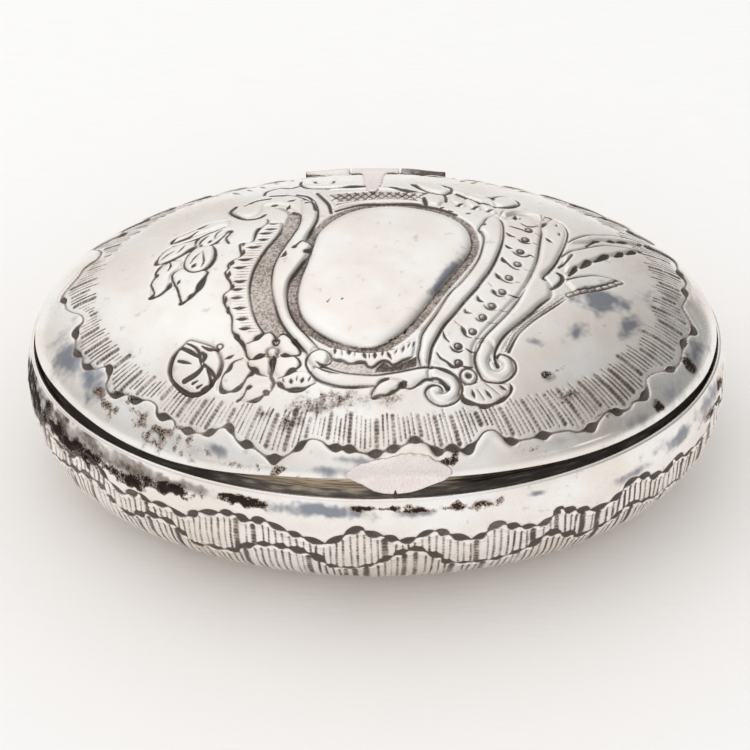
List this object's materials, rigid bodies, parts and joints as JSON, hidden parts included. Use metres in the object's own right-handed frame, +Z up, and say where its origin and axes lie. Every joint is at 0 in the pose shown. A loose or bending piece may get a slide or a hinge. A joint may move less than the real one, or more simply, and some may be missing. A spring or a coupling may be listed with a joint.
{
  "type": "hinged trinket box",
  "caption": "Small oval silver box with a domed hinged lid, a plain panel in a chased scroll cartouche, scalloped fluted belts, an inner collar and a thumb piece.",
  "frame": {"origin": "middle of the flat underside that the box stands on", "axes": "+X along the length of the oval, +Y towards the hinge, so -Y faces the thumb piece, +Z up"},
  "size_m": [0.0932, 0.0675, 0.033],
  "materials": {
    "silver": "old hand-polished silver, dark in the recesses",
    "collar": "browned, brushed silver",
    "solder_silver": "pinkish silver, satin",
    "pin": "dull drawn wire"
  },
  "bodies": {
    "base": {"base_shell": "silver", "base_collar": "collar", "hinge_bearer": "silver", "base_knuckle_left": "silver", "base_knuckle_right": "silver", "hinge_pin": "pin"},
    "lid": {"lid_shell": "silver", "lid_hinge_plate": "solder_silver", "lid_knuckle": "solder_silver", "thumb_piece": "solder_silver"}
  },
  "joints": [
    {"name": "lid_hinge", "type": "hinge", "parent": "base", "child": "lid", "pos_m": [-0.0006, 0.0332, 0.02115], "axis": [-1, 0, 0], "range_deg": [0, 95]}
  ]
}
